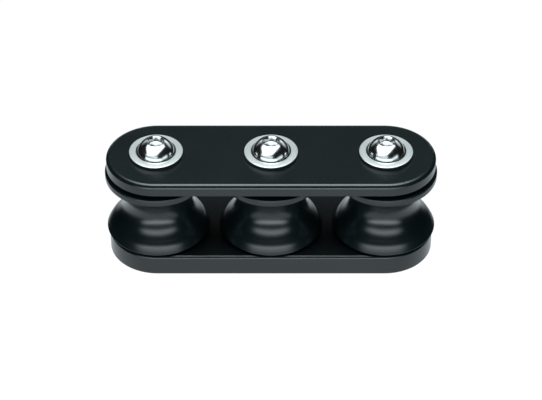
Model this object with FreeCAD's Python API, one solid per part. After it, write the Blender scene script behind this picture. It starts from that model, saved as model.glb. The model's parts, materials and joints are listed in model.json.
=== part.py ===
import FreeCAD, Part
import math
import os

from FreeCAD import Vector

# Rope deck organizer with three sheaves in a row between two round-ended plates.
# Sizes are in millimetres. +Z points up from the deck, X runs along the row of sheaves.
# The origin is in the middle of the underside of the base plate, the face on the deck.

# The row of stations, one for each sheave
STATION_NAMES = ("left", "centre", "right")
sheave_spacing = 4.0

# The two plates, black anodised aluminium
plate_width = 37.3
base_thickness = 8.5
top_thickness = 4.9
base_edge_radius = 1.1
top_edge_radius = 1.5
hidden_edge_chamfer = 0.2
hole_chamfer = 0.5

# The sheaves, turned to an hourglass with an upright band around each rim
sheave_diameter = 38.6
waist_diameter = 25.7
sheave_height = 26.1
rim_band_height = 1.8
rim_radius = 0.9
lip_radius = 0.3

# The flanged bushes, two pressed into each sheave from its ends
bush_wall = 2.0
bush_flange_width = 2.95
bush_flange_thickness = 1.1
bush_spacing = 2.6
bush_chamfer = 0.4

# The axle sleeves, which hold the plates apart and carry the bushes. Their ends are
# pressed into seats in the plates, line to line.
sleeve_diameter = 12.0
sleeve_seat_depth = 1.0
sleeve_chamfer = 0.3

# The button-head screws. The shank is thinner than the rolled thread, which is only on
# the end that stands out under the base plate.
screw_shank_diameter = 7.2
screw_thread_diameter = 7.9
screw_end_below_base = 10.85
thread_start_below_base = 0.35
screw_tip_chamfer = 1.0
head_diameter = 14.0
head_height = 4.9
head_edge_height = 0.5
head_flat_width = 0.3
socket_width = 5.0
socket_depth = 2.0
socket_mouth_width = 0.26
socket_floor_angle = 75.0
socket_corner_turn = 90.0

# The turned washers under the heads
washer_diameter = 20.0
washer_thickness = 1.85
washer_edge_chamfer = 0.25
washer_recess_depth = 0.5

# Clearances, each one on the radius or on one face. A sheave's weight closes its play below,
# so most of it is above the upper bush.
bush_running_gap = 0.05
bush_lower_gap = 0.05
bush_upper_gap = 0.75
screw_hole_gap = 0.25
head_recess_gap = 0.5

# Distances that follow from the sizes above
pitch = sheave_diameter + sheave_spacing
screw_hole_radius = screw_thread_diameter / 2 + screw_hole_gap
plate_gap = sheave_height + 2 * bush_flange_thickness + bush_lower_gap + bush_upper_gap
sheave_bottom = base_thickness + bush_lower_gap + bush_flange_thickness
top_plate_bottom = base_thickness + plate_gap
top_plate_top = top_plate_bottom + top_thickness
head_seat = top_plate_top + washer_thickness - washer_recess_depth


def turned(points, x):
    """A solid of revolution about the axis of the station at x. Each item of points is an
    (r, z) corner, or a pair of them: the middle and the end of an arc."""
    edges = []
    last = Vector(points[0][0], 0, points[0][1])
    for item in points[1:] + points[:1]:
        if isinstance(item[0], tuple):
            middle = Vector(item[0][0], 0, item[0][1])
            end = Vector(item[1][0], 0, item[1][1])
            edges.append(Part.Arc(last, middle, end).toShape())
        else:
            end = Vector(item[0], 0, item[1])
            edges.append(Part.LineSegment(last, end).toShape())
        last = end
    face = Part.Face(Part.Wire(edges))
    solid = face.revolve(Vector(0, 0, 0), Vector(0, 0, 1), 360)
    solid.translate(Vector(x, 0, 0))
    return solid


def on_circle(centre, radius, angle):
    """The (r, z) point of a profile at an angle, in radians, on a circle."""
    return (centre[0] + radius * math.cos(angle), centre[1] + radius * math.sin(angle))


def stadium(width, length_between, bottom, thickness):
    """A round-ended plate whose end radius is half its width."""
    radius = width / 2
    reach = length_between / 2
    corners = (Vector(-reach, -radius, bottom), Vector(reach, -radius, bottom),
               Vector(reach, radius, bottom), Vector(-reach, radius, bottom))
    right_end = Vector(reach + radius, 0, bottom)
    left_end = Vector(-reach - radius, 0, bottom)
    wire = Part.Wire([
        Part.LineSegment(corners[0], corners[1]).toShape(),
        Part.Arc(corners[1], right_end, corners[2]).toShape(),
        Part.LineSegment(corners[2], corners[3]).toShape(),
        Part.Arc(corners[3], left_end, corners[0]).toShape(),
    ])
    return Part.Face(wire).extrude(Vector(0, 0, thickness))


def edges_at(solid, height):
    """The edges that lie wholly at one height."""
    return [edge for edge in solid.Edges
            if abs(edge.BoundBox.ZMin - height) < 1e-6 and abs(edge.BoundBox.ZMax - height) < 1e-6]


def drilled_hole(x, bottom, top, mouth):
    """The tool for one screw hole through a plate. Its mouth, at one end, is chamfered."""
    radius = screw_hole_radius
    hole = Part.makeCylinder(radius, top - bottom, Vector(x, 0, bottom))
    inwards = Vector(0, 0, 1) if mouth == bottom else Vector(0, 0, -1)
    cone = Part.makeCone(radius + hole_chamfer, radius, hole_chamfer, Vector(x, 0, mouth), inwards)
    return hole.fuse(cone)


def sleeve_seat(x, bottom):
    """The tool for the shallow round seat that one end of a sleeve is pressed into."""
    return Part.makeCylinder(sleeve_diameter / 2, sleeve_seat_depth, Vector(x, 0, bottom))


def base_plate(stations):
    """The thick plate on the deck, with a seat for each sleeve around its screw hole."""
    plate = stadium(plate_width, (len(stations) - 1) * pitch, 0, base_thickness)
    plate = plate.makeFillet(base_edge_radius, edges_at(plate, base_thickness))
    plate = plate.makeChamfer(hidden_edge_chamfer, edges_at(plate, 0))
    seat_floor = base_thickness - sleeve_seat_depth
    for x in stations:
        plate = plate.cut(drilled_hole(x, 0, seat_floor, 0))
        plate = plate.cut(sleeve_seat(x, seat_floor))
    return plate


def top_plate(stations):
    """The thinner plate over the sheaves, with the same holes and seats, turned over."""
    plate = stadium(plate_width, (len(stations) - 1) * pitch, top_plate_bottom, top_thickness)
    plate = plate.makeFillet(top_edge_radius, edges_at(plate, top_plate_top))
    plate = plate.makeChamfer(hidden_edge_chamfer, edges_at(plate, top_plate_bottom))
    seat_ceiling = top_plate_bottom + sleeve_seat_depth
    for x in stations:
        plate = plate.cut(drilled_hole(x, seat_ceiling, top_plate_top, top_plate_top))
        plate = plate.cut(sleeve_seat(x, top_plate_bottom))
    return plate


def sheave(x):
    """The hourglass sheave. Its groove is one hollow arc, which runs without a corner into a
    small round above and below, and each of those into the upright band of its rim."""
    bore = sleeve_diameter / 2 + bush_running_gap + bush_wall
    outer = sheave_diameter / 2
    waist = waist_diameter / 2
    half = sheave_height / 2
    middle = sheave_bottom + half

    # The rim arc touches the band, the groove arc touches the waist, and the distance between
    # their centres is the sum of their radii where they meet
    rim_centre_r = outer - rim_radius
    rim_centre_z = half - lip_radius - rim_band_height
    inset = waist - rim_centre_r
    groove_radius = (rim_centre_z ** 2 + inset ** 2 - rim_radius ** 2) / (2 * (rim_radius - inset))
    groove_centre_r = waist + groove_radius
    lean = math.atan2(rim_centre_z, groove_centre_r - rim_centre_r)

    upper = []
    lip_centre = (outer - lip_radius, middle + half - lip_radius)
    upper.append((lip_centre[0], middle + half))
    upper.append((on_circle(lip_centre, lip_radius, math.pi / 4), (outer, lip_centre[1])))
    rim_centre = (rim_centre_r, middle + rim_centre_z)
    upper.append((outer, rim_centre[1]))
    upper.append((on_circle(rim_centre, rim_radius, -lean / 2), on_circle(rim_centre, rim_radius, -lean)))

    groove_centre = (groove_centre_r, middle)
    rim_centre = (rim_centre_r, middle - rim_centre_z)
    lip_centre = (outer - lip_radius, middle - half + lip_radius)
    groove = ((waist, middle), on_circle(rim_centre, rim_radius, lean))
    lower = [(on_circle(rim_centre, rim_radius, lean / 2), (outer, rim_centre[1])),
             (outer, lip_centre[1]),
             (on_circle(lip_centre, lip_radius, -math.pi / 4), (lip_centre[0], middle - half))]
    profile = [(bore, middle - half), (bore, middle + half)] + upper + [groove] + lower
    return turned(profile, x)


def bush(x, upper):
    """A flanged plain bush. Its flange is the thrust face between the sheave and a plate."""
    inner = sleeve_diameter / 2 + bush_running_gap
    outer = inner + bush_wall
    flange = outer + bush_flange_width
    length = bush_flange_thickness + (sheave_height - bush_spacing) / 2
    profile = [
        (inner, bush_chamfer),
        (inner, length),
        (outer - bush_chamfer, length),
        (outer, length - bush_chamfer),
        (outer, bush_flange_thickness),
        (flange, bush_flange_thickness),
        (flange, bush_chamfer),
        (flange - bush_chamfer, 0),
        (inner + bush_chamfer, 0),
    ]
    solid = turned(profile, x)
    if upper:
        solid.rotate(Vector(x, 0, 0), Vector(1, 0, 0), 180)
        solid.translate(Vector(0, 0, top_plate_bottom - bush_upper_gap))
    else:
        solid.translate(Vector(0, 0, base_thickness + bush_lower_gap))
    return solid


def axle_sleeve(x):
    """The steel tube that the bushes turn on. It is clamped between the two plates."""
    bore = screw_hole_radius
    outer = sleeve_diameter / 2
    bottom = base_thickness - sleeve_seat_depth
    top = top_plate_bottom + sleeve_seat_depth
    profile = [
        (bore, bottom),
        (bore, top),
        (outer - sleeve_chamfer, top),
        (outer, top - sleeve_chamfer),
        (outer, bottom + sleeve_chamfer),
        (outer - sleeve_chamfer, bottom),
    ]
    return turned(profile, x)


def washer(x):
    """The turned washer, with a shallow recess that the screw head sits in."""
    bore = screw_hole_radius
    outer = washer_diameter / 2
    recess = head_diameter / 2 + head_recess_gap
    bottom = top_plate_top
    top = bottom + washer_thickness
    profile = [
        (bore, bottom),
        (bore, head_seat),
        (recess, head_seat),
        (recess, top),
        (outer - washer_edge_chamfer, top),
        (outer, top - washer_edge_chamfer),
        (outer, bottom),
    ]
    return turned(profile, x)


def screw(x):
    """The button-head screw, with a hexagon socket and a threaded end for the deck."""
    seat = head_seat
    head_top = seat + head_height
    rim = (head_diameter / 2, seat + head_edge_height)
    flat = (socket_mouth_radius() + head_flat_width, head_top)
    # The dome is a part of a ball whose centre is on the axis, through its rim and its flat
    dome_centre = ((flat[0] ** 2 + flat[1] ** 2 - rim[0] ** 2 - rim[1] ** 2)
                   / (2 * (flat[1] - rim[1])))
    dome_radius = math.hypot(rim[0], rim[1] - dome_centre)
    rim_angle = math.atan2(rim[1] - dome_centre, rim[0])
    flat_angle = math.atan2(flat[1] - dome_centre, flat[0])
    dome_middle = on_circle((0, dome_centre), dome_radius, (rim_angle + flat_angle) / 2)

    shank = screw_shank_diameter / 2
    thread = screw_thread_diameter / 2
    tip = -screw_end_below_base
    thread_top = -thread_start_below_base
    profile = [
        (0, tip),
        (thread - screw_tip_chamfer, tip),
        (thread, tip + screw_tip_chamfer),
        (thread, thread_top),
        (shank, thread_top),
        (shank, seat),
        (head_diameter / 2, seat),
        rim,
        (dome_middle, flat),
        (0, head_top),
    ]
    solid = turned(profile, x)
    return solid.cut(hexagon_socket(x, head_top))


def socket_corner_radius():
    return socket_width / 2 / math.cos(math.pi / 6)


def socket_mouth_radius():
    return socket_corner_radius() + socket_mouth_width


def hexagon_socket(x, top):
    """The tool that cuts the socket: a hexagon, the punch's flat cone below it and a broken
    mouth. The angle of the cone is measured from the axis."""
    corner_radius = socket_corner_radius()
    floor = top - socket_depth
    corners = []
    for index in range(7):
        angle = math.radians(socket_corner_turn + 60 * index)
        corners.append(Vector(x + corner_radius * math.cos(angle), corner_radius * math.sin(angle), floor))
    hexagon = Part.Face(Part.makePolygon(corners)).extrude(Vector(0, 0, socket_depth))
    point_radius = socket_width / 2
    point_depth = point_radius / math.tan(math.radians(socket_floor_angle))
    point = Part.makeCone(0, point_radius, point_depth, Vector(x, 0, floor - point_depth))
    mouth_depth = socket_mouth_radius() - point_radius
    mouth = Part.makeCone(point_radius, socket_mouth_radius(), mouth_depth, Vector(x, 0, top - mouth_depth))
    return hexagon.fuse(point).fuse(mouth)


def main():
    os.makedirs("parts", exist_ok=True)
    first = -(len(STATION_NAMES) - 1) / 2 * pitch
    stations = [first + index * pitch for index in range(len(STATION_NAMES))]
    nodes = {"base_plate": base_plate(stations), "top_plate": top_plate(stations)}
    for name, x in zip(STATION_NAMES, stations):
        nodes[name + "_sheave"] = sheave(x)
        nodes[name + "_lower_bush"] = bush(x, upper=False)
        nodes[name + "_upper_bush"] = bush(x, upper=True)
        nodes[name + "_axle_sleeve"] = axle_sleeve(x)
        nodes[name + "_washer"] = washer(x)
        nodes[name + "_screw"] = screw(x)
    for name, shape in nodes.items():
        shape.exportStep("parts/" + name + ".step")


main()
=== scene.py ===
import json
import math

import bpy
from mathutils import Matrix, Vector

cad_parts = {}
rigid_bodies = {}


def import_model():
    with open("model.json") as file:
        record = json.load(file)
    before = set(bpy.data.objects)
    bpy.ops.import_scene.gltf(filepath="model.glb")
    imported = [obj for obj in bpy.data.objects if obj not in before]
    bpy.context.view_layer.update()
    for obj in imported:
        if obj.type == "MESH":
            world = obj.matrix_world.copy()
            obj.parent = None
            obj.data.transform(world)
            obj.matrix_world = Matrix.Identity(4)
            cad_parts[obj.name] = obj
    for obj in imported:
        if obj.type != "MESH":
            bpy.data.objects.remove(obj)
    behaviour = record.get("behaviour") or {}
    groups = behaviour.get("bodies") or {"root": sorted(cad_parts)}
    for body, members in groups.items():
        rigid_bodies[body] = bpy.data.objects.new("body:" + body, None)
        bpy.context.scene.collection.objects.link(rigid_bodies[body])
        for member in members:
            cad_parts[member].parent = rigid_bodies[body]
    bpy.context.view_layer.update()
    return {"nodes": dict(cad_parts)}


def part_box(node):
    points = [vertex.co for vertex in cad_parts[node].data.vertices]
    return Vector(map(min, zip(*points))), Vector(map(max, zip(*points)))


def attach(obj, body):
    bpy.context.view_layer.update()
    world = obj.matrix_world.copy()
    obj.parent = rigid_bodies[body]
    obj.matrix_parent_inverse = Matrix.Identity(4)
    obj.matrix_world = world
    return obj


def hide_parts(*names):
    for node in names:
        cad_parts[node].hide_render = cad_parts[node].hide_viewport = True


# A rope deck organizer: three hourglass sheaves in a row between two round-ended plates.
# Sizes of the pieces are written in millimetres and turned into metres by mm. +Z is up from
# the deck, and -Y is the front.
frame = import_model()
mm = 0.001


# Base plate
# The thick plate that lies on the deck. It is milled from aluminium bar with a rounded upper
# edge, bead blasted to a fine grain, then anodised black.

def wire(tree, kind, inputs=None, **settings):
    """Adds a node and gives its outputs. Each input takes a plain value, or the socket that is
    to be linked to it."""
    node = tree.nodes.new(kind)
    for name, value in settings.items():
        setattr(node, name, value)
    for name, value in (inputs or {}).items():
        if isinstance(value, bpy.types.NodeSocket):
            tree.links.new(value, node.inputs[name])
        else:
            node.inputs[name].default_value = value
    return node.outputs


def own_place(tree):
    """Each point's place on the object itself."""
    return wire(tree, "ShaderNodeTexCoord")["Object"]


def spread(tree, value, low, high):
    """Stretches a value that runs from 0 to 1 to the range from low to high."""
    return wire(tree, "ShaderNodeMapRange", {"Value": value, "To Min": low, "To Max": high})["Result"]


def noise(tree, grain, detail=2.0):
    """Cloudy noise from 0 to 1 whose spots are about one grain across."""
    inputs = {"Vector": own_place(tree), "Scale": 1 / grain, "Detail": detail}
    return wire(tree, "ShaderNodeTexNoise", inputs)["Fac"]


def blend_of(tree, amount, first, second):
    """A colour between two. Noise stays near its middle, so the blend runs from 0.3 to 0.7."""
    ramp = tree.nodes.new("ShaderNodeValToRGB")
    stops = ((0.3, first), (0.7, second))
    for element, (position, colour) in zip(ramp.color_ramp.elements, stops):
        element.position = position
        element.color = (*colour, 1)
    tree.links.new(amount, ramp.inputs["Fac"])
    return ramp.outputs["Color"]


def new_finish(name):
    """An empty material, with its node tree and its surface shader."""
    material = bpy.data.materials.new(name)
    material.use_nodes = True
    return material, material.node_tree, material.node_tree.nodes["Principled BSDF"]


def coat(tree, shader, colour, roughness, relief, relief_height):
    """Gives a surface its colour and roughness, and a relief of a small height."""
    bump = wire(tree, "ShaderNodeBump", {"Height": relief, "Strength": 1.0, "Distance": relief_height})
    for label, value in (("Base Color", colour), ("Roughness", roughness), ("Normal", bump["Normal"])):
        tree.links.new(value, shader.inputs[label])


def dress(node_name, finish):
    """Gives a piece that keeps its own solid a finish."""
    for material_slot in frame["nodes"][node_name].material_slots:
        material_slot.material = finish


def blasted_black():
    """Black anodising on a bead-blasted plate: a fine grain, and faint clouds in the dye."""
    deep = (0.0035, 0.0068, 0.0074)
    pale = (0.0055, 0.0094, 0.0104)
    roughness = (0.22, 0.28)
    cloud_size = 22 * mm
    grain_size = 0.16 * mm
    grain_height = 0.004 * mm
    material, tree, shader = new_finish("blasted_black")
    dye = blend_of(tree, noise(tree, cloud_size), deep, pale)
    grain = noise(tree, grain_size)
    coat(tree, shader, dye, spread(tree, grain, *roughness), grain, grain_height)
    shader.inputs["IOR"].default_value = 1.5
    return material


plate_black = blasted_black()
dress("base_plate", plate_black)


# Axle sleeves
# A steel tube at each station, turned and left bright. It is clamped between the plates in a
# shallow seat in each, and the bushes turn on it.

def lathe_lines(tree, distance, line_width, detail):
    """The marks of a turning tool, from 0 to 1, as lines side by side along a distance."""
    inputs = {"W": distance, "Scale": 1 / line_width, "Detail": detail}
    return wire(tree, "ShaderNodeTexNoise", inputs, noise_dimensions="1D")["Fac"]


def axes_of(tree, place):
    """The X, Y and Z of a place."""
    return wire(tree, "ShaderNodeSeparateXYZ", {"Vector": place})


def turned_steel():
    """Bright steel with fine rings around the sleeve, one above the other."""
    tone = (0.60, 0.60, 0.59)
    paler = (0.636, 0.636, 0.6254)
    roughness = (0.252, 0.308)
    ring_width = 0.25 * mm
    ring_height = 0.002 * mm
    material, tree, shader = new_finish("sleeve_steel")
    rings = lathe_lines(tree, axes_of(tree, own_place(tree))["Z"], ring_width, 3.0)
    steel = blend_of(tree, rings, tone, paler)
    coat(tree, shader, steel, spread(tree, rings, *roughness), rings, ring_height)
    shader.inputs["Metallic"].default_value = 1.0
    return material


stations = ("left", "centre", "right")
sleeve_steel = turned_steel()
for station in stations:
    dress(station + "_axle_sleeve", sleeve_steel)


# Bushes
# Two flanged plain bushes in each sheave, turned from black acetal and pressed in from its
# ends. Their flanges keep the sheave off the plates.

def black_acetal():
    """Turned plastic: dull black with a soft sheen and a faint mottle."""
    deep = (0.010, 0.011, 0.012)
    pale = (0.016, 0.017, 0.018)
    roughness = (0.38, 0.48)
    mottle_size = 1.2 * mm
    mottle_height = 0.004 * mm
    material, tree, shader = new_finish("black_acetal")
    mottle = noise(tree, mottle_size, 4.0)
    tone = blend_of(tree, mottle, deep, pale)
    coat(tree, shader, tone, spread(tree, mottle, *roughness), mottle, mottle_height)
    shader.inputs["IOR"].default_value = 1.48
    return material


bush_black = black_acetal()
for station in stations:
    for end in ("lower", "upper"):
        dress(f"{station}_{end}_bush", bush_black)


# Sheaves
# Three hourglass sheaves, each turned from one bar of aluminium, polished in the groove so that
# a rope runs easily, and anodised black. Each turns on its bushes.

def math_of(tree, operation, first, second=0.0, third=0.0):
    """One step of arithmetic, on values or sockets."""
    inputs = {0: first, 1: second, 2: third}
    return wire(tree, "ShaderNodeMath", inputs, operation=operation)["Value"]


def new_group(name, inputs):
    """A node tree that changes a mesh, and what its named inputs give."""
    tree = bpy.data.node_groups.new(name, "GeometryNodeTree")
    tree.interface.new_socket("Geometry", in_out="INPUT", socket_type="NodeSocketGeometry")
    for label, kind in inputs:
        tree.interface.new_socket(label, in_out="INPUT", socket_type="NodeSocket" + kind)
    tree.interface.new_socket("Geometry", in_out="OUTPUT", socket_type="NodeSocketGeometry")
    return tree, wire(tree, "NodeGroupInput")


def end_group(tree, geometry, finish):
    """Ends a tree: what it made becomes plain mesh, with its finish."""
    real = wire(tree, "GeometryNodeRealizeInstances", {"Geometry": geometry})["Geometry"]
    painted = wire(tree, "GeometryNodeSetMaterial", {"Geometry": real, "Material": finish})["Geometry"]
    wire(tree, "NodeGroupOutput", {"Geometry": painted})


def point_place(tree):
    """Where each point of the mesh is, in the step that reads it."""
    return wire(tree, "GeometryNodeInputPosition")["Position"]


def named_value(tree, label):
    """A number that each point of the mesh carries."""
    inputs = {"Name": label}
    return wire(tree, "GeometryNodeInputNamedAttribute", inputs, data_type="FLOAT")["Attribute"]


def read_at(tree, geometry, value, index, data_type):
    """What a value is at one point of another mesh."""
    inputs = {"Geometry": geometry, "Value": value, "Index": index}
    return wire(tree, "GeometryNodeSampleIndex", inputs, data_type=data_type)["Value"]


def kept_on(tree, geometry, label, value, data_type):
    """The mesh, with a named value kept on each point."""
    inputs = {"Geometry": geometry, "Name": label, "Value": value}
    return wire(tree, "GeometryNodeStoreNamedAttribute", inputs, data_type=data_type,
                domain="POINT")["Geometry"]


def around_station(tree, geometry, radius, turn, height, station):
    """Puts each point at a radius, a turn and a height about a station's upright axis, and joins
    the points that then meet, at the seam and on the axis."""
    same_point = 0.002 * mm
    x = math_of(tree, "MULTIPLY_ADD", radius, math_of(tree, "COSINE", turn), station)
    y = math_of(tree, "MULTIPLY", radius, math_of(tree, "SINE", turn))
    place = wire(tree, "ShaderNodeCombineXYZ", {"X": x, "Y": y, "Z": height})["Vector"]
    moved = wire(tree, "GeometryNodeSetPosition", {"Geometry": geometry, "Position": place})["Geometry"]
    inputs = {"Geometry": moved, "Distance": same_point}
    return wire(tree, "GeometryNodeMergeByDistance", inputs)["Geometry"]


def with_edges(tree, geometry, sharp_above, where=1.0):
    """Smooth faces, with a sharp edge wherever two of them meet at more than an angle. Edges stay
    smooth where the last value is 0."""
    angle = wire(tree, "GeometryNodeInputMeshEdgeAngle")["Unsigned Angle"]
    sharp = math_of(tree, "MULTIPLY", math_of(tree, "GREATER_THAN", angle, sharp_above), where)
    for domain, chosen, smooth in (("FACE", True, True), ("EDGE", True, True), ("EDGE", sharp, False)):
        inputs = {"Geometry": geometry, "Selection": chosen, "Shade Smooth": smooth}
        geometry = wire(tree, "GeometryNodeSetShadeSmooth", inputs, domain=domain)["Geometry"]
    return geometry


def lathe_tree():
    """The lathe. The object's own points are the profile, with r along X and the height along Z,
    and it turns them about a station's axis. Each point of the turned mesh keeps its distance
    along the profile and the part that it is on, and gets the direction around the axis."""
    tree, given = new_group("lathe", (("Segments", "Int"), ("Station", "Float"),
                                      ("Sharp Above", "Float"), ("Finish", "Material")))
    profile = given["Geometry"]
    count = wire(tree, "GeometryNodeAttributeDomainSize", {"Geometry": profile})["Point Count"]
    columns = math_of(tree, "ADD", given["Segments"], 1.0)
    sheet = {"Size X": 1.0, "Size Y": 1.0, "Vertices X": columns, "Vertices Y": count}
    mesh = wire(tree, "GeometryNodeMeshGrid", sheet)["Mesh"]

    # A flat sheet of one by one about the origin: X gives the turn, and Y the profile's point
    spot = axes_of(tree, point_place(tree))
    turn = math_of(tree, "MULTIPLY", math_of(tree, "ADD", spot["X"], 0.5), 2 * math.pi)
    last = math_of(tree, "SUBTRACT", count, 1.0)
    row = math_of(tree, "ROUND", math_of(tree, "MULTIPLY", math_of(tree, "ADD", spot["Y"], 0.5), last))
    for label in ("along", "part"):
        value = read_at(tree, profile, named_value(tree, label), row, "FLOAT")
        mesh = kept_on(tree, mesh, label, value, "FLOAT")
    point = axes_of(tree, read_at(tree, profile, point_place(tree), row, "FLOAT_VECTOR"))
    closed = around_station(tree, mesh, point["X"], turn, point["Z"], given["Station"])
    outward = wire(tree, "GeometryNodeFlipFaces", {"Mesh": closed})["Mesh"]

    # From here on the same spot is a place on the turned mesh
    backwards = math_of(tree, "MULTIPLY", spot["Y"], -1.0)
    across = math_of(tree, "SUBTRACT", spot["X"], given["Station"])
    around = wire(tree, "ShaderNodeCombineXYZ", {"X": backwards, "Y": across})["Vector"]
    combed = kept_on(tree, outward, "around", around, "FLOAT_VECTOR")
    end_group(tree, with_edges(tree, combed, given["Sharp Above"]), given["Finish"])
    return tree


def arc(centre, radius, first, last, steps):
    """Points on a circle of the profile, from one angle to the other, in degrees."""
    points = []
    for step in range(steps + 1):
        angle = math.radians(first + (last - first) * step / steps)
        points.append((centre[0] + radius * math.cos(angle), centre[1] + radius * math.sin(angle)))
    return points


def profile_mesh(name, points, parts=None):
    """The profile as a string of points, each with its distance along it and the part it is on."""
    mesh = bpy.data.meshes.new(name)
    mesh.from_pydata([(r, 0, z) for r, z in points], [(i, i + 1) for i in range(len(points) - 1)], [])
    along = mesh.attributes.new("along", "FLOAT", "POINT")
    part = mesh.attributes.new("part", "FLOAT", "POINT")
    distance = 0
    for index, point in enumerate(points):
        if index:
            distance += math.dist(point, points[index - 1])
        along.data[index].value = distance
        part.data[index].value = parts[index] if parts else 0
    return mesh


def set_inputs(modifier, values):
    """Sets a modifier's inputs, each by the identifier of the socket with that name."""
    for item in modifier.node_group.interface.items_tree:
        if item.in_out == "INPUT" and item.name in values:
            modifier[item.identifier] = values[item.name]


def made_real(name, mesh, steps):
    """Runs the trees on a mesh, one after the other, and keeps what they make as a plain piece."""
    source = bpy.data.objects.new(name + "_profile", mesh)
    bpy.context.scene.collection.objects.link(source)
    for tree, values in steps:
        modifier = source.modifiers.new(tree.name, "NODES")
        modifier.node_group = tree
        set_inputs(modifier, values)
    evaluated = source.evaluated_get(bpy.context.evaluated_depsgraph_get())
    piece = bpy.data.objects.new(name, bpy.data.meshes.new_from_object(evaluated))
    bpy.context.scene.collection.objects.link(piece)
    bpy.data.objects.remove(source)
    return piece


def lathe_settings(low, high, segments, sharp_above, finish):
    """The lathe's inputs for the piece whose solid has this box, with its angle in degrees."""
    return {"Segments": segments, "Station": (low.x + high.x) / 2,
            "Sharp Above": math.radians(sharp_above), "Finish": finish}


def turned_black():
    """Black anodising over a turned groove: fine lathe lines along the profile, nearly polished."""
    deep = (0.0020, 0.0050, 0.0058)
    pale = (0.0038, 0.0074, 0.0084)
    roughness = (0.22, 0.28)
    cloud_size = 7 * mm
    line_width = 0.12 * mm
    line_height = 0.0012 * mm
    material, tree, shader = new_finish("turned_black")
    along = wire(tree, "ShaderNodeAttribute", attribute_name="along")["Fac"]
    lines = lathe_lines(tree, along, line_width, 2.0)
    dye = blend_of(tree, noise(tree, cloud_size), deep, pale)
    coat(tree, shader, dye, spread(tree, lines, *roughness), lines, line_height)
    shader.inputs["IOR"].default_value = 1.5
    return material


def half_profile(outer, half_height, waist, lip_radius, face_height, face_tilt, round_radius):
    """One half of the hourglass, from its flat end to the waist: the lip, the straight face of the
    rim, tilted towards the groove by some degrees, the round into the groove, and the hollow arc
    of the groove."""
    lip_steps = 8
    round_steps = 16
    groove_steps = 30
    tilt = math.radians(face_tilt)
    lip_centre = (outer - lip_radius, half_height - lip_radius)
    points = arc(lip_centre, lip_radius, 90, -face_tilt, lip_steps)
    r, z = points[-1]
    r -= face_height * math.tan(tilt)
    z -= face_height
    round_r = r - round_radius * math.cos(tilt)
    round_z = z + round_radius * math.sin(tilt)

    # The groove touches the waist and runs into the round without a corner
    inset = waist - round_r
    groove_radius = (inset ** 2 + round_z ** 2 - round_radius ** 2) / (2 * (round_radius - inset))
    groove_r = waist + groove_radius
    lean = math.degrees(math.atan2(round_z, groove_r - round_r))
    points += arc((round_r, round_z), round_radius, -face_tilt, -lean, round_steps)
    return points + arc((groove_r, 0), groove_radius, 180 - lean, 180, groove_steps)[1:]


def sheave_profile(low, high):
    """The hourglass: a bore, two flat ends, the upper rim with an upright face, the lower rim
    with a coned face and a fuller round, and one hollow groove between them."""
    waist = 12.85 * mm
    bore_radius = 8.05 * mm
    lip_radius = 0.3 * mm
    rim_height = 1.8 * mm
    upper_tilt = 0
    upper_round = 0.9 * mm
    lower_tilt = 28
    lower_round = 8.0 * mm
    lower_lip_overhang = 0.15 * mm
    outer = (high.x - low.x) / 2
    lower_outer = outer + lower_lip_overhang
    half_height = (high.z - low.z) / 2
    middle = (high.z + low.z) / 2
    above = half_profile(outer, half_height, waist, lip_radius, rim_height, upper_tilt, upper_round)
    below = half_profile(lower_outer, half_height, waist, lip_radius, rim_height, lower_tilt, lower_round)
    bore_edge = [(bore_radius, half_height - lip_radius), (bore_radius + lip_radius, half_height)]
    upper = [(r, middle + z) for r, z in bore_edge + above]
    lower = [(r, middle - z) for r, z in bore_edge + below[:-1]]
    return upper + lower[::-1] + upper[:1]


lathe = lathe_tree()
sheave_black = turned_black()
sheave_segments = 192
sheave_sharp_above = 30
for station in stations:
    low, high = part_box(station + "_sheave")
    settings = lathe_settings(low, high, sheave_segments, sheave_sharp_above, sheave_black)
    profile = profile_mesh(station + "_hourglass", sheave_profile(low, high))
    sheave = made_real(station + "_turned_sheave", profile, [(lathe, settings)])
    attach(sheave, station + "_sheave_group")
    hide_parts(station + "_sheave")


# Top plate
# The thinner plate over the sheaves. It has the outline and the finish of the base plate, with
# a fuller round on its upper edge.

dress("top_plate", plate_black)


# Washers
# A turned stainless washer under each head. Its face has fine concentric lathe marks, and a
# shallow recess that the head sits in.

def ringed_steel():
    """Stainless steel with fine concentric rings, which smear each reflection across them. Its colour
    carries painted shade: the face keeps its full colour, the recess and the bore are painted deep in
    shade, and the outer wall and the underside are painted half way between."""
    face_starts = 5.12 * mm
    face_ends = 7.75 * mm
    # Painted shade: off the face the colour is scaled down to these shares, most in the recess and the
    # bore, less on the outer wall
    recess_painted_shade = 0.10
    wall_painted_shade = 0.45
    deep = (0.62, 0.63, 0.615)
    pale = (0.70, 0.71, 0.695)
    roughness = (0.24, 0.34)
    ring_width = 0.10 * mm
    ring_height = 0.0008 * mm
    material, tree, shader = new_finish("ringed_steel")
    along = wire(tree, "ShaderNodeAttribute", attribute_name="along")["Fac"]
    rings = lathe_lines(tree, along, ring_width, 3.0)
    tone = blend_of(tree, rings, deep, pale)

    # The distance along the profile tells the face and its rounded edge from the rest, which is darkened as
    # painted shade
    on_face = math_of(tree, "MULTIPLY", math_of(tree, "GREATER_THAN", along, face_starts),
                      math_of(tree, "LESS_THAN", along, face_ends))
    shares = {"Value": along, "From Min": face_starts, "From Max": face_ends,
              "To Min": recess_painted_shade, "To Max": wall_painted_shade}
    painted_shade_off_face = wire(tree, "ShaderNodeMapRange", shares)["Result"]
    # The colour's scale is painted shade: full on the face, darker everywhere else
    bright = wire(tree, "ShaderNodeMix", {"Factor": on_face, "A": painted_shade_off_face, "B": 1.0})["Result"]
    tone = wire(tree, "ShaderNodeVectorMath", {0: tone, "Scale": bright}, operation="SCALE")["Vector"]
    coat(tree, shader, tone, spread(tree, rings, *roughness), rings, ring_height)
    around = wire(tree, "ShaderNodeAttribute", attribute_name="around")["Vector"]
    tree.links.new(around, shader.inputs["Tangent"])
    shader.inputs["Metallic"].default_value = 1.0
    shader.inputs["Anisotropic"].default_value = 0.5
    return material


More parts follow.
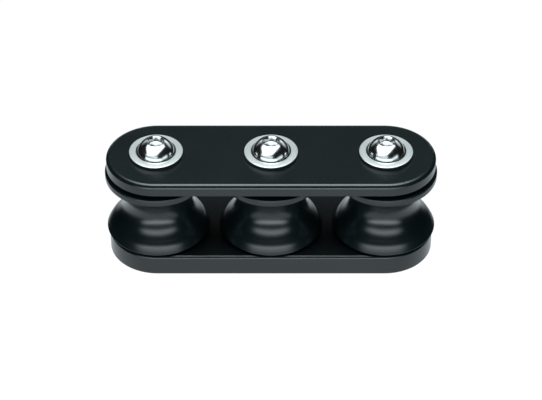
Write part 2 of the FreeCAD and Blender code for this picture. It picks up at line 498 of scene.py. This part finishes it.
def washer_profile(low, high):
    """The bore, the seat of the head, the recess wall, the face, which falls a little towards
    the rim, at about face_slope degrees, and the outer wall."""
    bore_radius = 4.2 * mm
    recess_radius = 7.5 * mm
    recess_depth = 0.5 * mm
    edge_radius = 0.25 * mm
    edge_steps = 6
    fall = 0.17 * mm
    face_slope = 5
    outer = (high.x - low.x) / 2
    seat = high.z - recess_depth
    inner = [(bore_radius, low.z), (bore_radius, seat), (recess_radius, seat), (recess_radius, high.z)]
    edge_centre = (outer - edge_radius, high.z - fall - edge_radius)
    edge = arc(edge_centre, edge_radius, 90 - face_slope, 0, edge_steps)
    return inner + edge + [(outer, low.z), (bore_radius, low.z)]


washer_steel = ringed_steel()
washer_segments = 192
washer_sharp_above = 30
for station in stations:
    low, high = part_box(station + "_washer")
    settings = lathe_settings(low, high, washer_segments, washer_sharp_above, washer_steel)
    profile = profile_mesh(station + "_ring", washer_profile(low, high))
    washer = made_real(station + "_turned_washer", profile, [(lathe, settings)])
    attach(washer, "housing")
    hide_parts(station + "_washer")


# Screws
# A polished stainless button-head screw at each station, with a hexagon socket for the key.
# Its shank is thinner than the rolled thread, which is on the end that goes into the deck.

# What each part of the profile is, as its points carry it. The plain part stays as turned.
plain_part = 0
wall_part = 1
mouth_part = 2
thread_part = 3


def hexagon_radius(tree, turn, half_width, corner_turn):
    """How far the hexagon reaches in each direction, with a corner at corner_turn."""
    sixth = math.pi / 3
    from_corner = math_of(tree, "SUBTRACT", turn, corner_turn)
    positive = math_of(tree, "ADD", from_corner, 4 * math.pi)
    off_flat = math_of(tree, "SUBTRACT", math_of(tree, "MODULO", positive, sixth), sixth / 2)
    return math_of(tree, "DIVIDE", half_width, math_of(tree, "COSINE", off_flat))


def threaded_radius(tree, turn, height, given):
    """The thread: flanks between a narrow crest and a root, run out at its upper end. The wave
    runs from 0 in the middle of the crest to half a pitch in the middle of the root, and the
    crest and the flank end at shares of the pitch."""
    crest_ends = 0.0625
    flank_ends = 0.40
    lead = math_of(tree, "DIVIDE", math_of(tree, "MULTIPLY", given["Pitch"], turn), 2 * math.pi)
    phase = math_of(tree, "DIVIDE", math_of(tree, "SUBTRACT", height, lead), given["Pitch"])
    wave = math_of(tree, "PINGPONG", phase, 0.5)
    slope = {"Value": wave, "From Min": crest_ends, "From Max": flank_ends}
    flank = wire(tree, "ShaderNodeMapRange", slope)["Result"]
    below = math_of(tree, "SUBTRACT", given["Thread Top"], height)
    begun = wire(tree, "ShaderNodeMapRange", {"Value": below, "From Max": given["Pitch"]})["Result"]
    cut = math_of(tree, "MULTIPLY", math_of(tree, "MULTIPLY", flank, given["Thread Depth"]), begun)
    return math_of(tree, "SUBTRACT", given["Thread Radius"], cut)


def socket_and_thread_tree():
    """Gives a turned screw its hexagon and its thread. The part of the profile that a point is
    on says what happens to it. A cone of 45 degrees opens the mouth of the socket, so the edge
    where the hexagon meets it is scalloped."""
    tree, given = new_group("socket_and_thread", (
        ("Socket Half Width", "Float"), ("Corner Turn", "Float"), ("Pitch", "Float"),
        ("Thread Depth", "Float"), ("Thread Radius", "Float"), ("Thread Top", "Float"),
        ("Station", "Float"), ("Sharp Above", "Float"), ("Finish", "Material")))

    # Each test stands half way between the numbers of two parts
    part = named_value(tree, "part")
    in_socket = math_of(tree, "MULTIPLY", math_of(tree, "GREATER_THAN", part, wall_part - 0.5),
                        math_of(tree, "LESS_THAN", part, mouth_part + 0.5))
    on_mouth = math_of(tree, "COMPARE", part, mouth_part, 0.1)
    on_thread = math_of(tree, "GREATER_THAN", part, thread_part - 0.5)
    off_thread = math_of(tree, "LESS_THAN", part, thread_part - 0.5)

    spot = axes_of(tree, point_place(tree))
    across = math_of(tree, "SUBTRACT", spot["X"], given["Station"])
    turn = math_of(tree, "ARCTAN2", spot["Y"], across)
    reach = math_of(tree, "SQRT", math_of(tree, "ADD", math_of(tree, "MULTIPLY", across, across),
                                          math_of(tree, "MULTIPLY", spot["Y"], spot["Y"])))
    hexagon = hexagon_radius(tree, turn, given["Socket Half Width"], given["Corner Turn"])
    thin = math_of(tree, "MINIMUM", reach, threaded_radius(tree, turn, spot["Z"], given))
    radius = wire(tree, "ShaderNodeMix", {"Factor": in_socket, "A": reach, "B": hexagon})["Result"]
    radius = wire(tree, "ShaderNodeMix", {"Factor": on_thread, "A": radius, "B": thin})["Result"]
    height = math_of(tree, "MULTIPLY_ADD", on_mouth, hexagon, spot["Z"])
    closed = around_station(tree, given["Geometry"], radius, turn, height, given["Station"])
    end_group(tree, with_edges(tree, closed, given["Sharp Above"], off_thread), given["Finish"])
    return tree


def polished_steel():
    """Stainless steel with a soft polish, a little uneven."""
    deep = (0.64, 0.65, 0.65)
    pale = (0.68, 0.69, 0.69)
    roughness = (0.12, 0.18)
    cloud_size = 2.5 * mm
    cloud_height = 0.003 * mm
    material, tree, shader = new_finish("polished_steel")
    cloud = noise(tree, cloud_size)
    tone = blend_of(tree, cloud, deep, pale)
    coat(tree, shader, tone, spread(tree, cloud, *roughness), cloud, cloud_height)
    shader.inputs["Metallic"].default_value = 1.0
    return material


socket_half_width = 2.5 * mm
thread_pitch = 1.25 * mm
thread_radius = 3.95 * mm
thread_depth = 0.70 * mm
thread_top = -0.35 * mm
corner_turn = math.pi / 2


def screw_profile(low, high):
    """From the middle of the socket's floor, over the head and down the shank, to the tip. The
    point of the mouth's edge stands lower by the mouth's radius, because the tree raises it by
    the hexagon's."""
    socket_depth = 2.0 * mm
    floor_cone = 0.67 * mm
    mouth_radius = 3.147 * mm
    flat_width = 0.2 * mm
    head_height = 4.9 * mm
    head_edge = 0.5 * mm
    shank_radius = 3.6 * mm
    tip_break = 1.0 * mm
    dome_steps = 36
    tip_steps = 10
    rows_in_pitch = 14
    head_radius = (high.x - low.x) / 2
    top = high.z
    seat = top - head_height
    floor = top - socket_depth
    points = [(0, floor - floor_cone), (socket_half_width, floor), (socket_half_width, floor),
              (socket_half_width, top - mouth_radius), (mouth_radius, top)]
    parts = [plain_part, plain_part, wall_part, mouth_part, plain_part]

    # The dome is part of a ball on the axis, from the flat around the mouth to the head's edge
    flat = mouth_radius + flat_width
    rim = seat + head_edge
    centre = (flat ** 2 + top ** 2 - head_radius ** 2 - rim ** 2) / (2 * (top - rim))
    first = math.degrees(math.atan2(top - centre, flat))
    last = math.degrees(math.atan2(rim - centre, head_radius))
    points += arc((0, centre), math.hypot(head_radius, rim - centre), first, last, dome_steps)
    points += [(head_radius, seat), (shank_radius, seat), (shank_radius, thread_top)]
    parts += [plain_part] * (len(points) - len(parts))

    # The thread has rows enough for its flanks, and the tip is broken at 45 degrees
    thread_length = thread_top - tip_break - low.z
    rows = int(thread_length / thread_pitch * rows_in_pitch)
    for row in range(rows + 1):
        points.append((thread_radius, thread_top - thread_length * row / rows))
    for step in range(1, tip_steps + 1):
        above_tip = tip_break * (tip_steps - step) / tip_steps
        points.append((thread_radius - tip_break * step / tip_steps, low.z + above_tip))
    parts += [thread_part] * (len(points) - len(parts))
    return points + [(0, low.z)], parts + [plain_part]


socket_and_thread = socket_and_thread_tree()
screw_steel = polished_steel()
screw_segments = 144
screw_sharp_above = 20
for station in stations:
    low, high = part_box(station + "_screw")
    settings = lathe_settings(low, high, screw_segments, screw_sharp_above, screw_steel)
    cut_settings = {"Socket Half Width": socket_half_width, "Corner Turn": corner_turn,
                    "Pitch": thread_pitch, "Thread Depth": thread_depth,
                    "Thread Radius": thread_radius, "Thread Top": thread_top,
                    "Station": settings["Station"], "Sharp Above": settings["Sharp Above"],
                    "Finish": screw_steel}
    profile = profile_mesh(station + "_button_head", *screw_profile(low, high))
    screw = made_real(station + "_button_screw", profile,
                      [(lathe, settings), (socket_and_thread, cut_settings)])
    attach(screw, "housing")
    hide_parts(station + "_screw")


# Floor, studio light and camera
# A plain white table under soft boxes. The plates, the sheaves and the steel each have boxes of
# their own, so that each shows its form, and the camera looks down at the front of the row.

# The floor and the backdrop glow a little more than white, so that both come out pure white
white_glow = 1.02


def white_table():
    """A floor that glows white, so it shows no shadow."""
    material, tree, shader = new_finish("white_table")
    tree.nodes.remove(shader)
    glow = wire(tree, "ShaderNodeEmission", {"Color": (1, 1, 1, 1), "Strength": white_glow})["Emission"]
    tree.links.new(glow, tree.nodes["Material Output"].inputs["Surface"])
    return material


floor_size = 6.0
edge = floor_size / 2
floor_mesh = bpy.data.meshes.new("table")
corners = [(-edge, -edge, 0), (edge, -edge, 0), (edge, edge, 0), (-edge, edge, 0)]
floor_mesh.from_pydata(corners, [], [(0, 1, 2, 3)])
floor_mesh.materials.append(white_table())
table = bpy.data.objects.new("table", floor_mesh)
bpy.context.scene.collection.objects.link(table)
table.visible_glossy = False
table.visible_diffuse = False
table.visible_shadow = False

# The light of the room and of every box is slightly cool
cool_white = (0.89, 1.0, 1.04)


def risen(tree, level, first, last):
    """0 below the first height in the room and 1 above the last, both in degrees above the
    horizon, where level is the sine of the height."""
    inputs = {"Value": level, "From Min": math.sin(math.radians(first)),
              "From Max": math.sin(math.radians(last))}
    return wire(tree, "ShaderNodeMapRange", inputs, interpolation_type="SMOOTHSTEP")["Result"]


def studio_world():
    """What lights every piece: a soft ceiling, the pale table, which is dimmer close by, and a
    dim room between them. The camera sees plain white instead."""
    ceiling_light = 1.3
    ceiling_edge = (58, 68)
    table_light = 1.0
    table_edge = (-32, -24)
    near_table_light = 0.35
    near_table_edge = (-68, -50)
    room_light = 0.01
    world = bpy.data.worlds.new("studio")
    world.use_nodes = True
    tree = world.node_tree
    tree.nodes.clear()
    level = axes_of(tree, wire(tree, "ShaderNodeTexCoord")["Generated"])["Z"]
    ceiling = math_of(tree, "MULTIPLY", risen(tree, level, *ceiling_edge), ceiling_light)
    table_tone = spread(tree, risen(tree, level, *near_table_edge), near_table_light, table_light)
    on_table = math_of(tree, "SUBTRACT", 1.0, risen(tree, level, *table_edge))
    total = math_of(tree, "ADD", math_of(tree, "MULTIPLY", on_table, table_tone),
                    math_of(tree, "ADD", ceiling, room_light))
    studio = {"Color": (*cool_white, 1), "Strength": total}
    backdrop = {"Color": (1, 1, 1, 1), "Strength": white_glow}
    sky = wire(tree, "ShaderNodeMixShader", {0: wire(tree, "ShaderNodeLightPath")["Is Camera Ray"],
                                             1: wire(tree, "ShaderNodeBackground", studio)["Background"],
                                             2: wire(tree, "ShaderNodeBackground", backdrop)["Background"]})
    wire(tree, "ShaderNodeOutputWorld", {"Surface": sky["Shader"]})
    return world


bpy.context.scene.world = studio_world()

box_distance = 1.5
aim = Vector((0, 0, 0.025))


def softbox(name, lit, direction, size, radiance, fade, lean=0.0):
    """An even rectangular light that faces the row. Its direction is an azimuth, 0 at the front,
    and an elevation, in degrees, and its size is in metres. Its edges fade over shares of its
    width and height, and one side can lean inwards by a share of the width. It lights only the
    pieces in its collection. Its power is four times its area for each unit of radiance."""
    azimuth, elevation = (math.radians(angle) for angle in direction)
    width, height = size
    light = bpy.data.lights.new(name, "AREA")
    light.shape = "RECTANGLE"
    light.size = width
    light.size_y = height
    light.energy = radiance * 4 * width * height
    light.color = cool_white
    light.use_nodes = True
    tree = light.node_tree
    spot = axes_of(tree, wire(tree, "ShaderNodeNewGeometry")["Parametric"])
    leaning = math_of(tree, "MULTIPLY_ADD", spot["Y"], lean, 1.0 - lean)
    other_side = math_of(tree, "SUBTRACT", leaning, spot["X"])
    inwards = (math_of(tree, "MINIMUM", spot["X"], other_side), math_of(tree, "PINGPONG", spot["Y"], 0.5))
    across, up = (wire(tree, "ShaderNodeMapRange", {"Value": inward, "From Max": share},
                       interpolation_type="SMOOTHSTEP")["Result"]
                  for inward, share in zip(inwards, fade))
    tree.links.new(math_of(tree, "MULTIPLY", across, up), tree.nodes["Emission"].inputs["Strength"])
    lamp = bpy.data.objects.new(name, light)
    flat = box_distance * math.cos(elevation)
    lamp.location = (flat * math.sin(azimuth), -flat * math.cos(azimuth),
                     box_distance * math.sin(elevation) + aim.z)
    lamp.rotation_euler = (aim - lamp.location).to_track_quat("-Z", "Y").to_euler()
    bpy.context.scene.collection.objects.link(lamp)
    lamp.visible_camera = False
    lamp.light_linking.receiver_collection = lit


def lit_group(name, endings):
    """A collection of the pieces whose names have one of the endings."""
    group = bpy.data.collections.new(name)
    for piece in bpy.context.scene.objects:
        if piece.type == "MESH" and piece.name.endswith(endings):
            group.objects.link(piece)
    return group


plates = lit_group("lit_plates", ("_plate",))
sheaves = lit_group("lit_sheaves", ("_sheave", "_bush", "_sleeve"))
steel = lit_group("lit_steel", ("_washer", "_screw"))

# The edges of the plates mirror one wide box in front. The grooves mirror two strips, a high one
# and a low one, and the steel mirrors a leaning ceiling and boxes all round.
softbox("plate_ceiling", plates, direction=(180, 84), size=(2.2, 2.2), radiance=6.6, fade=(0.5, 0.5))
softbox("plate_front_box", plates, direction=(0, -13), size=(3.4, 1.06), radiance=4.2, fade=(0.5, 0.42))
softbox("plate_rear_box", plates, direction=(180, 0), size=(2.1, 1.5), radiance=1.1, fade=(0.3, 0.4))
softbox("sheave_ceiling", sheaves, direction=(0, 90), size=(1.9, 1.9), radiance=2.8, fade=(0.33, 0.33))
softbox("sheave_upper_box", sheaves, direction=(0, 21), size=(3.9, 0.76), radiance=3.3, fade=(0.30, 0.38))
softbox("sheave_lower_box", sheaves, direction=(0, -19), size=(4.0, 0.50), radiance=4.9, fade=(0.30, 0.36))
softbox("sheave_rear_box", sheaves, direction=(180, -14), size=(2.6, 1.1), radiance=0.8, fade=(0.3, 0.3))
softbox("steel_ceiling", steel, direction=(0, 75), size=(4.0, 2.5), radiance=1.8, fade=(0.04, 0.04),
        lean=0.45)
softbox("steel_upper_box", steel, direction=(-27, 28), size=(2.3, 0.45), radiance=0.85, fade=(0.03, 0.12),
        lean=0.1)
softbox("steel_lower_box", steel, direction=(-12, 8), size=(3.6, 0.50), radiance=1.5, fade=(0.05, 0.12))
softbox("steel_right_box", steel, direction=(55, 9), size=(1.3, 0.55), radiance=1.0, fade=(0.3, 0.3))
softbox("steel_rear_box", steel, direction=(180, 63), size=(2.8, 1.0), radiance=1.3, fade=(0.3, 0.3))
softbox("steel_back_box", steel, direction=(180, 24), size=(2.8, 0.9), radiance=0.85, fade=(0.3, 0.3))
softbox("steel_rear_right_box", steel, direction=(140, 14), size=(1.2, 0.9), radiance=0.65, fade=(0.4, 0.4))
softbox("steel_rear_left_box", steel, direction=(-145, 12), size=(1.0, 0.8), radiance=0.3, fade=(0.4, 0.4))

# The camera stands in front, 40 degrees up and 0.8 m away, and looks at the middle of the row
camera_elevation = 39.55
camera_distance = 0.7947
lens = 139.95
sensor_width = 36.0
sight_height = 20.64 * mm
camera_data = bpy.data.cameras.new("camera")
camera_data.lens = lens
camera_data.sensor_width = sensor_width
camera = bpy.data.objects.new("camera", camera_data)
tilt = math.radians(camera_elevation)
camera.location = (0, -camera_distance * math.cos(tilt), sight_height + camera_distance * math.sin(tilt))
camera.rotation_euler = (math.pi / 2 - tilt, 0, 0)
bpy.context.scene.collection.objects.link(camera)
bpy.context.scene.camera = camera
bpy.context.scene.view_settings.view_transform = "Standard"
bpy.context.scene.view_settings.look = "None"
